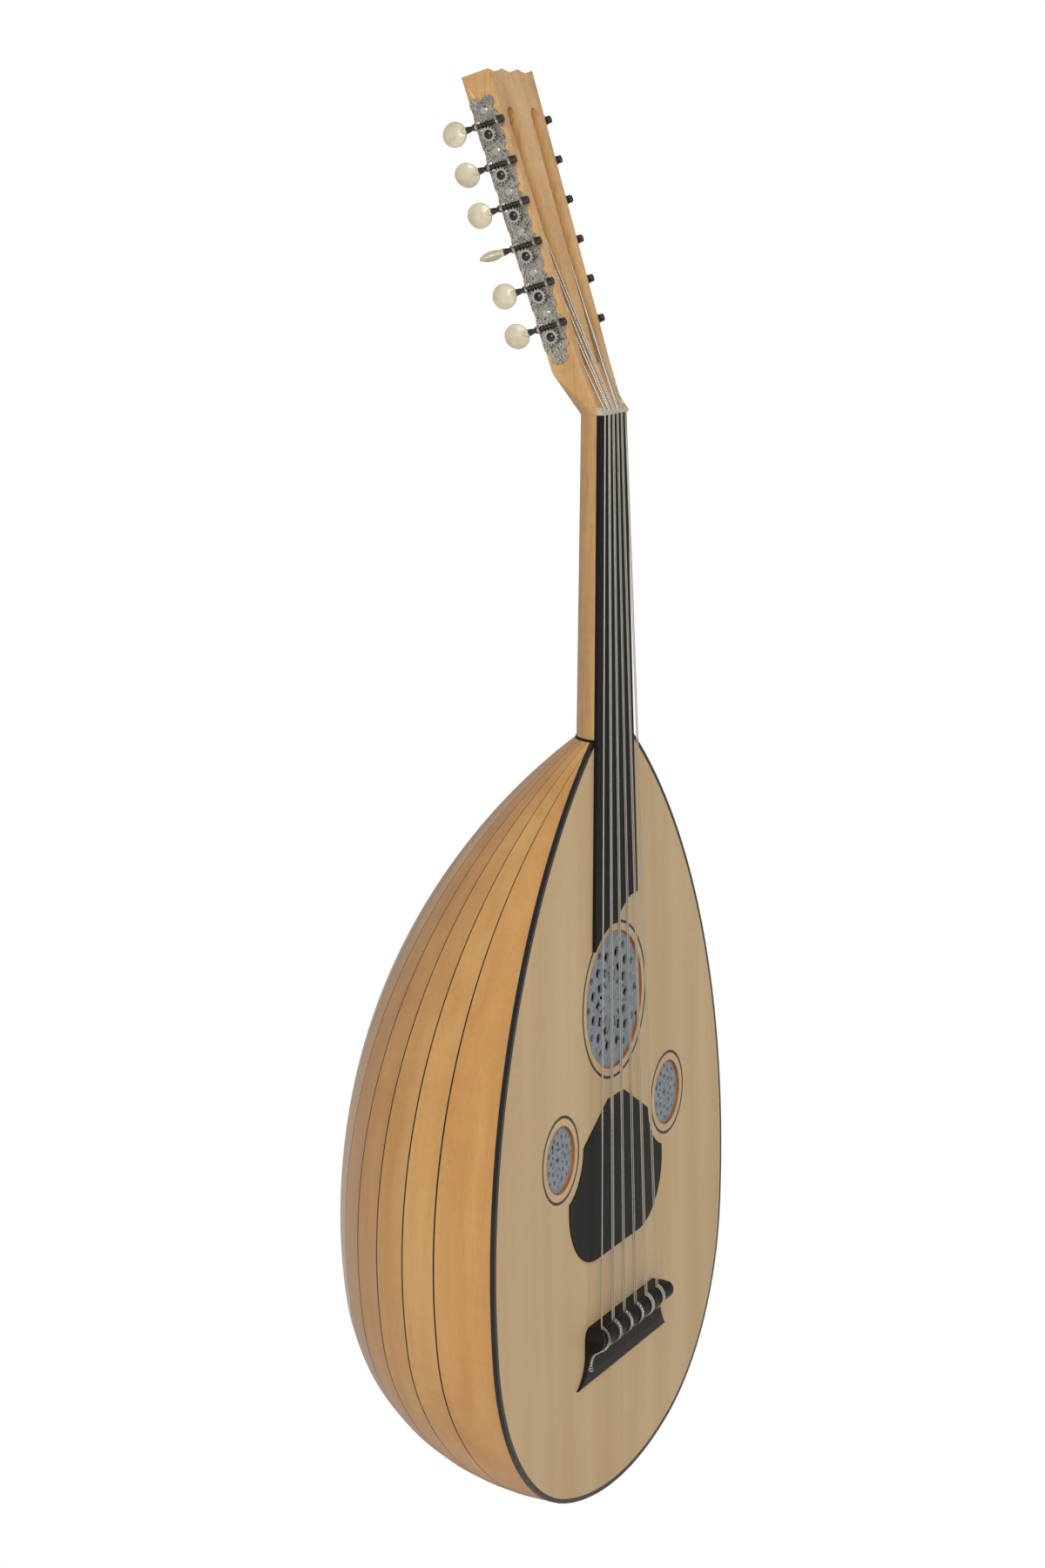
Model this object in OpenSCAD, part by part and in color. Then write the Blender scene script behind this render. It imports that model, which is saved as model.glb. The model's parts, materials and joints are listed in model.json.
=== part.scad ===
// Oud with a ribbed bowl, three pierced rosettes, six courses and twelve worm-geared tuners.
// Frame: origin on the centre line at the nut, in the plane of the soundboard.
// +Z runs up the neck to the head, +Y goes into the bowl, +X is the treble side.

/* [Neck and strings] */
// Sounding string length, from the nut to the bridge
scale_length = 594; // [580:1:600]
// Neck length, from the nut to the body
neck_length = 208; // [204:1:212]
// Width of the fingerboard at the nut
nut_width = 41; // [38:0.5:43]
// Depth of the neck behind the fingerboard at the nut
neck_depth = 18; // [15:0.5:20]
// Thickness of the fingerboard
board_thick = 2.6; // [2:0.1:3.5]
// Thickness of the nut, along the strings
nut_thick = 5; // [4:0.5:6]
// Height of the string centres over the fingerboard at the nut
nut_action = 1.5; // [1:0.1:2]
// Distance between the two strings of a course at the nut
pair_gap = 1.9; // [1.6:0.1:2.2]

/* [Body] */
// Body length, from the neck joint to the tail
body_length = 508; // [498:1:518]
// Width of the widest part of the bowl
body_width = 380; // [366:1:394]
// Distance from the neck joint down to the widest part
widest_at = 322; // [316:1:324]
// Radius of the long side curve
side_radius = 405; // [398:1:412]
// Radius of the end curve round the tail
end_radius = 271; // [250:1:300]
// Angle below the widest part at which the side curve ends
corner_angle = 7; // [5:0.5:9]
// Distance of the bowl's axis in front of the soundboard
bowl_offset = 8; // [5:0.5:12]
// Thickness of the ribs
rib_thick = 3; // [2:0.5:4]
// Number of equal ribs between the two side ribs
rib_count = 17; // [13:2:19]
// Angle from the soundboard side to the first seam
side_rib_angle = 16.3; // [14:0.1:18]
// Width of the dark line between two ribs, as an angle
seam_angle = 0.3; // [0.2:0.05:0.5]
// Thickness of the soundboard
top_thick = 2; // [1.5:0.1:3]
// Width and height of the dark edge binding
binding = 3; // [2:0.5:4]

/* [Sound holes] */
// Distance from the nut to the main sound hole's centre
main_hole_at = 384.4; // [380:0.2:388]
// Radius of the main sound hole
main_hole_r = 45.5; // [40:0.5:47]
// Distance from the nut to the small sound holes' centres
small_hole_at = 470; // [466:1:474]
// Distance of the small sound holes from the centre line
small_hole_out = 88.6; // [84:0.2:92]
// Radius of the small sound holes
small_hole_r = 21.8; // [20:0.2:23]
// Gap between a hole and its inlaid ring
ring_gap = 5.1; // [4:0.1:6]
// Width of an inlaid ring
ring_w = 2; // [1:0.1:2.5]
// Thickness of the rosettes
rosette_thick = 1.5; // [1:0.1:2]

/* [Head] */
// Angle of the head behind the neck
head_tilt = 17; // [12:0.5:20]
// Length of the head's front face
head_length = 222; // [215:1:230]
// Thickness of the head
head_thick = 19.5; // [18:0.5:22]
// Half width of the head where it leaves the neck, measured at its foot
head_half = 23.1; // [22:0.1:24]
// Taper of each side of the head
head_taper = 2.58; // [2:0.02:3]
// Width of a string slot
slot_w = 12; // [11:0.5:12.5]
// Wood left outside a string slot
slot_wall = 8; // [7:0.5:8.5]
// Distance from the head's foot to the scarf joint
scarf_at = 28; // [26:1:30]

/* [Tuners] */
// Distance from the head's foot to the first post
post_first = 50; // [48:0.5:52]
// Distance from post to post
post_pitch = 26.4; // [26:0.1:27]
// Radius of a post
post_r = 3; // [2.5:0.1:3.2]
// Radial running clearance of posts and worm shafts
run_clear = 0.05; // [0.03:0.01:0.1]
// Thickness of the tuner plates
plate_thick = 1.5; // [1:0.1:1.6]
// Radius of a tuner button
button_r = 8.2; // [7:0.1:9]

/* [Bridge] */
// Half length of the tie block
bridge_half = 60; // [56:0.5:66]
// Height of the tie block over the soundboard
bridge_h = 13.5; // [12.5:0.1:14.5]
// Height of the string holes over the soundboard
bridge_string_h = 9; // [8.6:0.1:9.2]
// Distance from the front of the tie block to the low edge of the base
bridge_depth = 38; // [34:0.5:42]
// Distance between two courses at the bridge
course_pitch_bridge = 18.8; // [18:0.1:19.4]

/* [Hidden] */
$fn = 96;
eps = 0.01;
far = 2000;

// Levels along the neck and body
joint_z = -neck_length;
tail_z = joint_z - body_length;
band_half = 0.8;
bowl_top = joint_z - band_half;

// The bowl's profile is three tangent arcs: side, corner and end
half_w = body_width / 2;
side_c = [half_w - side_radius, joint_z - widest_at];
corner_dir = [cos(corner_angle), -sin(corner_angle)];
side_end = side_c + side_radius * corner_dir;
end_c = [0, tail_z + end_radius];
end_run = side_end - end_c;
corner_radius = (end_run * end_run - pow(end_radius, 2)) / (2 * (corner_dir * end_run - end_radius));
corner_c = side_end - corner_radius * corner_dir;
end_dir = (corner_c - end_c) / norm(corner_c - end_c);
end_a = atan2(end_dir[1], end_dir[0]);
corner_chords = 16;

// Distance from the bowl's axis to its surface at a level on the side curve
function bowl_r(z) = side_c[0] + sqrt(pow(side_radius, 2) - pow(z - side_c[1], 2));
// Half width of the soundboard at such a level
function flank(z) = sqrt(pow(bowl_r(z), 2) - pow(bowl_offset, 2));

joint_r = bowl_r(joint_z);
joint_half = flank(joint_z);
nut_half = nut_width / 2;
nut_arc_r = (pow(nut_half, 2) + pow(neck_depth, 2)) / (2 * neck_depth);
nut_arc_y = neck_depth - nut_arc_r;
neck_slope = (nut_arc_y + bowl_offset) / neck_length;
neck_growth = (joint_r - nut_arc_r) / neck_length;
function board_half(z) = nut_half - z * (joint_half - nut_half) / neck_length;

// Head frame: foot at the nut's back, its front face sunk behind the fingerboard's top
foot_y = 1.8;
foot_z = nut_thick;
string_y = -(board_thick + nut_action);
slot_top = post_first + 5 * post_pitch + 14;
post_depth = head_thick / 2 + 1;
slot_mid = -(slot_wall + slot_w / 2);

// Tuner parts, measured outward from the side of the head
gear_teeth = 14;
gear_r = 4.9;
worm_r = 2;
gear_w = 2;
gear_gap = 1.8;
gear_x = plate_thick + gear_gap + gear_w / 2;
mesh_dist = gear_r + worm_r;
gear_out = gear_r + 0.4;
gear_root = gear_r - 0.75;
worm_out = worm_r + 0.45;
worm_core = 1.4;
worm_pitch = 2 * 180 / gear_teeth * (PI / 180) * gear_r;
thread_turns = 3;
shaft_r = 1.6;
lug_thick = 1.5;
lug_front = 1.5;
lug_back = head_thick - 3.2;
post_seat = 3;
wrap_clear = 0.3;
screw_r = 1.1;
screw_head_r = 2.1;
screw_len = 6;
rest_turns = [15, -5, 90, 5, 20, -10];

// Six courses from bass to treble: string radius of each
course_r = [0.55, 0.5, 0.45, 0.4, 0.35, 0.3];
groove_clear = 0.03;
course_pitch_nut = (nut_width - 7.6) / 5;
function course(i) = i == 0 ? 0 : floor((i + 1) / 2);
function pair_side(i) = i == 0 ? 0 : (i % 2 == 1 ? -1 : 1);
function nut_x(i) = -2.5 * course_pitch_nut + course(i) * course_pitch_nut + pair_side(i) * pair_gap / 2;
function bridge_x(i) = -2.5 * course_pitch_bridge + course(i) * course_pitch_bridge
    + pair_side(i) * 0.75 * pair_gap;
function post_of(i) = i < 5 ? i : 10 - i;
function side_of(i) = i < 5 ? -1 : 1;

module disc2(c, r) { translate(c) circle(r = r, $fn = 360); }

// Point on the corner arc, t of the way from the end curve to the side curve
function corner_point(r, t) = let (a = end_a - (corner_angle + end_a) * t) corner_c + r * [cos(a), sin(a)];

// Region from near the axis out to the profile, drawn in by inset: the side and end discs
// with the corner between their tangent points cut back to short chords of its arc
module bowl_profile(inset, more = 0) {
    axis_gap = 0.7 * bowl_offset - more;
    top = bowl_top + more;
    reach = corner_radius;
    r = reach - inset;
    overrun = 0.02;
    intersection() {
        disc2(side_c, side_radius - inset);
        disc2(end_c, end_radius - inset);
        polygon(concat(
            [[axis_gap, top], [axis_gap, tail_z - reach], corner_c + 2 * reach * end_dir],
            [corner_c + (r + overrun) * end_dir],
            [for (k = [1:corner_chords - 1]) corner_point(r, k / corner_chords)],
            [corner_c + (r + overrun) * corner_dir, corner_c + 2 * reach * corner_dir],
            [[corner_c[0] + 2 * reach, top]]
        ));
    }
}

// A part of the bowl's body of revolution, from one angle to another about its axis
module bowl_sector(from, to, inset) {
    translate([0, -bowl_offset, 0]) rotate([0, 0, from]) rotate_extrude(angle = to - from, $fn = 180)
        bowl_profile(inset);
}

// Outline of the bowl in the plane y behind the soundboard, drawn in by inset: from one side of
// the neck joint round the tail to the other
function arc_points(c, r, from, to, n) = [for (k = [0:n - 1]) let (a = from + (to - from) * k / n)
    c + r * [cos(a), sin(a)]];
function half_outline(y, inset) = let (
    d = bowl_offset + y,
    tail_a = -acos(d / (end_radius - inset)),
    top_a = asin((bowl_top - side_c[1]) / (side_radius - inset)),
    top = side_c + (side_radius - inset) * [cos(top_a), sin(top_a)],
    rim = concat(
        arc_points(end_c, end_radius - inset, tail_a, end_a, 20),
        arc_points(corner_c, corner_radius - inset, end_a, -corner_angle, corner_chords),
        arc_points(side_c, side_radius - inset, -corner_angle, top_a, 48),
        [top]
    )
) [for (p = rim) [sqrt(max(0, p[0] * p[0] - d * d)), p[1]]];
function outline(y, inset) = let (h = half_outline(y, inset))
    concat([for (k = [len(h) - 1:-1:1]) [-h[k][0], h[k][1]]], h);

module hole(x, z, r, y0, y1) {
    translate([x, y0, z]) rotate([-90, 0, 0]) cylinder(r = r, h = y1 - y0);
}

module at_holes() {
    translate([0, 0, -main_hole_at]) children(0);
    for (side = [-1, 1]) translate([side * small_hole_out, 0, -small_hole_at]) children(1);
}

module ring(r, w, y0, y1) {
    difference() {
        hole(0, 0, r + w / 2, y0, y1);
        hole(0, 0, r - w / 2, y0 - 1, y1 + 1);
    }
}

inlay_depth = 0.6;
main_ring_r = main_hole_r + ring_gap + ring_w / 2;
small_ring_r = small_hole_r + ring_gap + ring_w / 2;

module soundhole_rings() {
    color([0.12, 0.09, 0.07]) at_holes() {
        ring(main_ring_r, ring_w, 0, inlay_depth);
        ring(small_ring_r, ring_w, 0, inlay_depth);
    }
}

module soundboard() {
    color([0.8, 0.67, 0.46]) difference() {
        translate([0, top_thick, 0]) rotate([90, 0, 0]) linear_extrude(top_thick)
            polygon(outline(0, binding));
        at_holes() {
            hole(0, 0, main_hole_r, -1, top_thick + 1);
            hole(0, 0, small_hole_r, -1, top_thick + 1);
        }
        at_holes() {
            ring(main_ring_r, ring_w, -1, inlay_depth);
            ring(small_ring_r, ring_w, -1, inlay_depth);
        }
    }
}

module edge_binding() {
    loops = [
        [for (p = outline(0, 0)) [p[0], 0, p[1]]],
        [for (p = outline(binding, 0)) [p[0], binding, p[1]]],
        [for (p = outline(0, binding)) [p[0], binding, p[1]]],
        [for (p = outline(0, binding)) [p[0], 0, p[1]]]
    ];
    n = len(loops[0]);
    walls = [for (j = [0:3]) for (i = [0:n - 2])
        let (a = n * j + i, c = n * ((j + 1) % 4) + i) each [[a, c, c + 1], [a, c + 1, a + 1]]];
    ends = [[3 * n, 2 * n, n, 0], [n - 1, 2 * n - 1, 3 * n - 1, 4 * n - 1]];
    color([0.08, 0.07, 0.07]) polyhedron(points = [for (l = loops) each l], faces = concat(walls, ends));
}

// Bars glued across the underside of the soundboard, clear of the rosettes
bar_w = 6;
bar_h = 16;
// Distance from the middle of the main hole to the bars above and below it
hole_gap = main_hole_r + 14;
bar_levels = [
    joint_z - 77,
    hole_gap - main_hole_at,
    -main_hole_at - hole_gap + 5,
    -small_hole_at - 36,
    -scale_length + 30,
    tail_z + 61
];

module soundboard_braces() {
    color([0.85, 0.74, 0.55]) intersection() {
        bowl_sector(0, 180, rib_thick);
        for (z = bar_levels)
            translate([-half_w, top_thick, z - bar_w / 2]) cube([body_width, bar_h, bar_w]);
    }
}

rib_angle = (180 - 2 * side_rib_angle) / rib_count;

module rib_slice(from, to) {
    translate([0, -bowl_offset, 0]) rotate([0, 0, from]) rotate_extrude(angle = to - from, $fn = 180)
        difference() {
            bowl_profile(0);
            bowl_profile(rib_thick, 1);
        }
}

module behind_binding() {
    intersection() {
        children();
        translate([-half_w - 5, binding, tail_z - 5]) cube([body_width + 10, half_w + 10, body_length + 20]);
    }
}

module bowl_ribs() {
    color([0.78, 0.55, 0.3]) {
        for (k = [0:rib_count - 1]) {
            start = side_rib_angle + k * rib_angle;
            behind_binding() rib_slice(start + seam_angle / 2, start + rib_angle - seam_angle / 2);
        }
        behind_binding() rib_slice(0, side_rib_angle - seam_angle / 2);
        behind_binding() rib_slice(180 - side_rib_angle + seam_angle / 2, 180);
    }
}

module rib_purfling() {
    color([0.1, 0.07, 0.05]) for (k = [0:rib_count]) {
        seam = side_rib_angle + k * rib_angle;
        behind_binding() rib_slice(seam - seam_angle / 2, seam + seam_angle / 2);
    }
}

module inner_block(z0, z1) {
    intersection() {
        bowl_sector(0, 180, rib_thick);
        translate([-half_w, top_thick, z0]) cube([body_width, body_width, z1 - z0]);
    }
}

neck_block_len = 45;
tail_block_len = 24;

module neck_block() { color([0.75, 0.6, 0.4]) inner_block(bowl_top - neck_block_len, bowl_top); }
module tail_block() { color([0.75, 0.6, 0.4]) inner_block(tail_z - 1, tail_z + tail_block_len); }

// Pierced plate: rings of round, leaf and diamond openings about a star
module pierced(r, lobes, star) {
    for (k = [0:lobes - 1]) rotate([0, k * 360 / lobes, 0]) {
        hole(0, r * 0.83, r * 0.055, 1, 5);
        rotate([0, 180 / lobes, 0]) hole(0, r * 0.68, r * 0.075, 1, 5);
        translate([0, 3, r * 0.49]) rotate([0, 45, 0]) cube([r * 0.13, 4, r * 0.13], center = true);
        rotate([0, 180 / lobes, 0]) translate([0, 3, r * 0.36])
            cube([r * 0.045, 4, r * 0.17], center = true);
    }
    for (a = [0, 90]) rotate([0, a, 0]) cube([star, 12, star * 3], center = true);
}

module rosette(r, lobes, star) {
    color([0.45, 0.5, 0.56]) difference() {
        hole(0, 0, r + 2, top_thick, top_thick + rosette_thick);
        pierced(r, lobes, star);
    }
}

module main_rosette() { translate([0, 0, -main_hole_at]) rosette(main_hole_r, 12, 2.6); }
module small_rosette(side) {
    translate([side * small_hole_out, 0, -small_hole_at]) rosette(small_hole_r, 8, 1.8);
}

// Neck: a slightly tipped cone behind the fingerboard, blending into a square end at the scarf
module tipped_cone() {
    angle = atan(neck_slope);
    run = neck_length + 20;
    translate([0, nut_arc_y, 0]) rotate([-angle, 0, 0]) translate([0, 0, -run])
        cylinder(r1 = nut_arc_r + neck_growth * run, r2 = nut_arc_r, h = run, $fn = 180);
}

module head_frame() { translate([0, foot_y, foot_z]) rotate([-head_tilt, 0, 0]) children(); }
function head_w(s) = head_half + s * tan(head_taper);

module neck_end() {
    slice = 0.5;
    hull() {
        intersection() {
            translate([0, nut_arc_y, -slice]) cylinder(r = nut_arc_r, h = slice, $fn = 64);
            translate([-50, 0, -1]) cube([100, 50, 2]);
        }
        translate([-nut_half, 0, 0]) cube([nut_width, 1, nut_thick]);
        head_frame() {
            translate([-head_w(scarf_at), 0, scarf_at - slice])
                cube([2 * head_w(scarf_at), 5, slice]);
            for (side = [-1, 1])
                translate([side * (head_w(scarf_at) - 1), head_thick - 1, scarf_at - slice])
                    cylinder(r = 1, h = slice, $fn = 16);
        }
    }
}

// Channels behind the nut that let the outer strings down into the slots
module ramps() {
    ramp_from = 8;
    ramp_angle = 17.4;
    head_frame() for (side = [-1, 1]) mirror([side < 0 ? 1 : 0, 0, 0])
        translate([8, -1.25, ramp_from]) rotate([-ramp_angle, 0, 0])
            translate([0, -10, -4]) cube([9.8, 10, 30]);
}

module neck() {
    color([0.8, 0.6, 0.36]) difference() {
        union() {
            intersection() {
                tipped_cone();
                translate([-60, 0, joint_z + band_half]) cube([120, 80, neck_length - band_half - 0.2]);
            }
            neck_end();
        }
        ramps();
    }
}

module heel_band() {
    color([0.08, 0.07, 0.07]) intersection() {
        translate([0, -bowl_offset, joint_z - band_half])
            cylinder(r = joint_r + 0.5, h = 2 * band_half, $fn = 180);
        translate([-60, 0, joint_z - 2]) cube([120, 80, 4]);
    }
}

// Fingerboard: its lower end follows the main ring and sweeps up to the treble edge
board_low = -main_hole_at + main_ring_r + ring_w / 2 + 0.3;
sweep_c = [30, -357];
sweep_r = 39;
board_end = -main_hole_at + 30;
board_treble_end = -318;

module fingerboard() {
    color([0.09, 0.09, 0.09]) rotate([90, 0, 0]) linear_extrude(board_thick)
        difference() {
            polygon([
                [-nut_half, 0],
                [nut_half, 0],
                [board_half(board_treble_end), board_treble_end],
                [board_half(board_treble_end) - 6, board_treble_end - 6],
                [0, board_end],
                [-board_half(board_end), board_end]
            ]);
            disc2([0, -main_hole_at], main_ring_r + ring_w / 2 + 0.3);
            disc2(sweep_c, sweep_r);
        }
}

module nut() {
    crown = string_y - 0.4;
    color([0.9, 0.86, 0.74]) difference() {
        translate([-nut_half, 0, 0]) rotate([90, 0, 90]) linear_extrude(nut_width) polygon([
            [0, 0],
            [crown, 0],
            [crown, nut_thick - 2.6],
            [string_y + 0.65, nut_thick - 1.8],
            [string_y + 1.9, nut_thick],
            [0, nut_thick]
        ]);
        for (i = [0:10]) translate([nut_x(i), string_y, -1])
            cylinder(r = course_r[course(i)] + groove_clear, h = nut_thick + 2, $fn = 24);
    }
}

// Headstock: block with two string slots, scalloped top and twelve post bores
module string_slot(side) {
    mirror([side < 0 ? 1 : 0, 0, 0]) translate([head_half, 0, 0]) rotate([0, head_taper, 0])
        translate([slot_mid, 0, 0]) {
            translate([-slot_w / 2, -5, scarf_at - 5])
                cube([slot_w, 40, slot_top - slot_w / 2 - scarf_at + 5]);
            translate([0, -5, slot_top - slot_w / 2]) rotate([-90, 0, 0]) cylinder(d = slot_w, h = 40);
        }
}

scallop_r = 31;
scallop_depth = 2.6;

module head_block() {
    foot = scarf_at;
    top = head_length;
    difference() {
        translate([0, head_thick, 0]) rotate([90, 0, 0]) linear_extrude(head_thick) difference() {
            polygon([
                [-head_w(foot), foot],
                [head_w(foot), foot],
                [head_w(top), top],
                [-head_w(top), top]
            ]);
            for (side = [-1, 0, 1])
                disc2([side * 22.7, top - scallop_depth + scallop_r], scallop_r);
        }
        // short cut down the middle of the crown
        translate([-0.5, -1, top - 14]) cube([1, 1.6, 20]);
    }
}

module side_frame(side) {
    head_frame() mirror([side < 0 ? 1 : 0, 0, 0]) translate([head_half, 0, 0])
        rotate([0, head_taper, 0]) children();
}
function post_z(k) = post_first + k * post_pitch;

// Bore from the side of the head across the slot into the middle bar
module post_bores(r) {
    for (k = [0:5]) translate([1, post_depth, post_z(k)]) rotate([0, -90, 0])
        cylinder(r = r, h = 1 + slot_wall + slot_w + post_seat + 0.3);
}

module screws(r, h, x) {
    for (k = [1:5]) translate([x, post_depth, post_z(k) - 11]) rotate([0, 90, 0]) cylinder(r = r, h = h);
    translate([x, post_depth, post_z(5) + 15.5]) rotate([0, 90, 0]) cylinder(r = r, h = h);
}

module headstock() {
    color([0.82, 0.62, 0.38]) difference() {
        head_frame() difference() {
            head_block();
            for (side = [-1, 1]) string_slot(side);
        }
        for (side = [-1, 1]) side_frame(side) {
            post_bores(post_r + run_clear);
            screws(screw_r, screw_len + 1, -screw_len);
        }
    }
}

// Tuner plate: strip with bitten edges, lobed ends and a pair of lugs for each worm shaft
module plate_outline() {
    mid = post_depth;
    low = post_first - 10;
    high = post_z(5) + 20;
    half = 8.6;
    difference() {
        union() {
            translate([low, mid - half]) square([high - low, 2 * half]);
            for (y = [-4.4, 4.4]) translate([high, mid + y]) circle(r = 4.2);
            translate([low, mid]) circle(r = 7.5);
        }
        for (k = [0:5]) for (y = [-1, 1])
            translate([post_z(k) + 15.5, mid + y * (half + 1.4)]) circle(r = 3.2);
        translate([high + 4.6, mid]) circle(r = 2.6);
        for (y = [-1, 1]) translate([low - 1.5, mid + y * 9.4]) circle(r = 4);
    }
}

module lug(y0) {
    z0 = mesh_dist - 3;
    for (k = [0:5]) translate([0, y0, post_z(k) + z0]) {
        cube([gear_x, lug_thick, 6]);
        translate([gear_x, 0, 3]) rotate([-90, 0, 0]) cylinder(r = 3, h = lug_thick);
    }
}

module tuner_plate(side) {
    color([0.72, 0.72, 0.7]) side_frame(side) difference() {
        union() {
            rotate([0, -90, 0]) translate([0, 0, -plate_thick]) linear_extrude(plate_thick)
                plate_outline();
            lug(lug_front);
            lug(lug_back);
        }
        for (k = [0:5]) {
            translate([-1, post_depth, post_z(k)]) rotate([0, 90, 0])
                cylinder(r = post_r + run_clear, h = plate_thick + 2);
            translate([gear_x, -5, post_z(k) + mesh_dist]) rotate([-90, 0, 0])
                cylinder(r = shaft_r + run_clear, h = 40);
        }
        screws(screw_r, plate_thick + 2, -1);
    }
}

module tuner_plate_screws() {
    color([0.6, 0.6, 0.58]) for (side = [-1, 1]) side_frame(side) {
        screws(screw_r, screw_len + plate_thick + eps, -screw_len);
        screws(screw_head_r, 0.9, plate_thick);
    }
}

// Post: roller across the slot, with the gear and the black cap outside the plate
module gear_tooth() {
    half_root = 0.62;
    half_tip = 0.26;
    polygon([
        [gear_root - 0.5, -half_root],
        [gear_out, -half_tip],
        [gear_out, half_tip],
        [gear_root - 0.5, half_root]
    ]);
}

module gear2() {
    circle(r = gear_root);
    for (t = [0:gear_teeth - 1]) rotate(90 + (t + 0.5) * 360 / gear_teeth) gear_tooth();
}

cap_r = 2.9;
cap_h = 1.9;

module post(side, k) {
    inner = slot_wall + slot_w + post_seat;
    side_frame(side) translate([0, post_depth, post_z(k)]) {
        color([0.55, 0.55, 0.53]) translate([-inner, 0, 0]) rotate([0, 90, 0])
            cylinder(r = post_r, h = inner + gear_x);
        color([0.7, 0.7, 0.66]) translate([gear_x - gear_w / 2, 0, 0]) rotate([90, 0, 90])
            linear_extrude(gear_w) gear2();
        color([0.05, 0.05, 0.06]) translate([gear_x + gear_w / 2 - eps, 0, 0]) rotate([0, 90, 0])
            rotate_extrude() intersection() {
                translate([0, cap_h - cap_dome_r]) circle(r = cap_dome_r);
                square([cap_r, cap_h]);
            }
    }
}
cap_dome_r = (cap_r * cap_r + (cap_h - 0.5) * (cap_h - 0.5)) / (2 * (cap_h - 0.5));

// Worm: rows of points round the axis whose radius rises to a ridge along a helix
worm_sides = 16;
worm_rows = 8;
ridge_flat = 0.118;
ridge_foot = 0.209;
function ridge(u) = min(1, max(0, (ridge_foot - abs(u - 0.5)) / (ridge_foot - ridge_flat)));
function worm_turn(i, j) = j / worm_rows - thread_turns / 2 - i / worm_sides + 1.25 + thread_turns;
module worm_thread() {
    n = worm_sides;
    rows = worm_rows * thread_turns;
    points = [for (j = [0:rows]) for (i = [0:n - 1])
        let (u = worm_turn(i, j), a = i * 360 / n, r = worm_core + (worm_out - worm_core) * ridge(u - floor(u)))
            [r * cos(a), (j / worm_rows - thread_turns / 2) * worm_pitch, r * sin(a)]];
    walls = [for (j = [0:rows - 1]) for (i = [0:n - 1])
        let (a = n * j + i, b = n * j + (i + 1) % n) each [[a, b, b + n], [a, b + n, a + n]]];
    ends = [[for (i = [n - 1:-1:0]) i], [for (i = [0:n - 1]) n * rows + i]];
    polyhedron(points = points, faces = concat(ends, walls));
}

shaft_back = head_thick + 5;

module worm_shaft(side, k) {
    front = lug_front + lug_thick + 0.4;
    back = lug_back - 0.4;
    color([0.35, 0.33, 0.31]) side_frame(side)
        translate([gear_x, 0, post_z(k) + mesh_dist]) {
            rotate([-90, 0, 0]) translate([0, 0, front - 1]) cylinder(r = worm_core - 0.1, h = back - front + 2);
            rotate([-90, 0, 0]) translate([0, 0, -1.6]) cylinder(r = 2.5, h = 1.6 + lug_front - 0.2);
            rotate([-90, 0, 0]) cylinder(r = shaft_r, h = front);
            rotate([-90, 0, 0]) translate([0, 0, back]) cylinder(r = shaft_r, h = shaft_back - back + 3);
            rotate([-90, 0, 0]) translate([0, 0, lug_back + lug_thick + 0.2]) cylinder(r = 2.3, h = 1.4);
            rotate([-90, 0, 0]) translate([0, 0, shaft_back - 2]) cylinder(r = 2, h = 2);
            translate([0, post_depth, 0]) worm_thread();
        }
}

button_bulge = 14;
button_half = 3.3;

module button(side, k) {
    color([0.9, 0.86, 0.72]) side_frame(side)
        translate([gear_x, shaft_back, post_z(k) + mesh_dist]) rotate([0, rest_turns[k], 0]) difference() {
            union() {
                translate([0, button_r + 0.8, 0]) rotate([0, 90, 0]) rotate_extrude() intersection() {
                    disc2([0, button_bulge - button_half], button_bulge);
                    disc2([0, button_half - button_bulge], button_bulge);
                    translate([0, -button_half]) square([button_r, 2 * button_half]);
                }
                rotate([-90, 0, 0]) cylinder(r = 2.4, h = 4);
            }
            rotate([-90, 0, 0]) translate([0, 0, -1]) cylinder(r = shaft_r, h = 4);
        }
}

// Strings: each runs from its tie over the nut to its post
function head_point(p) = [
    p[0],
    foot_y + p[2] * sin(head_tilt) + p[1] * cos(head_tilt),
    foot_z + p[2] * cos(head_tilt) - p[1] * sin(head_tilt)
];
function to_head(p) = [
    p[0],
    (p[1] - foot_y) * cos(head_tilt) - (p[2] - foot_z) * sin(head_tilt),
    (p[1] - foot_y) * sin(head_tilt) + (p[2] - foot_z) * cos(head_tilt)
];
// Point of a post's axis under its winding, in the head frame
function post_axis(i) = let (k = post_of(i), t = head_taper)
    [side_of(i) * (head_half + slot_mid * cos(t) + post_z(k) * sin(t)), post_depth,
     post_z(k) * cos(t) - slot_mid * sin(t)];
// Where the string from point n first touches the winding's circle of radius r about p
function tangent(n, p, r) = let (dy = n[1] - p[1], dz = n[2] - p[2], d = sqrt(dy * dy + dz * dz),
    a = atan2(dy, dz) + acos(r / d)) [p[0], p[1] + r * sin(a), p[2] + r * cos(a)];
function wind_r(i) = post_r + wrap_clear + course_r[course(i)];
nut_back = nut_thick - 1.8;
function nut_end(i) = [nut_x(i), string_y, nut_back];
function wind_point(i) = head_point(tangent(to_head(nut_end(i)), post_axis(i), wind_r(i)));

module rod(a, b, r) {
    d = b - a;
    translate(a) rotate([0, acos(d[2] / norm(d)), atan2(d[1], d[0])]) cylinder(r = r, h = norm(d), $fn = 24);
}
module bead(p, r) { translate(p) sphere(r = r, $fn = 24); }

bead_more = 0.03;

// The tie block is a rounded bar: half its depth, radius and height of its rounding
tie_half = 8;
tie_r = 7.5;
tie_c = [tie_r - bridge_h, -scale_length - tie_half];
tie_gap = 0.5;

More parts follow.
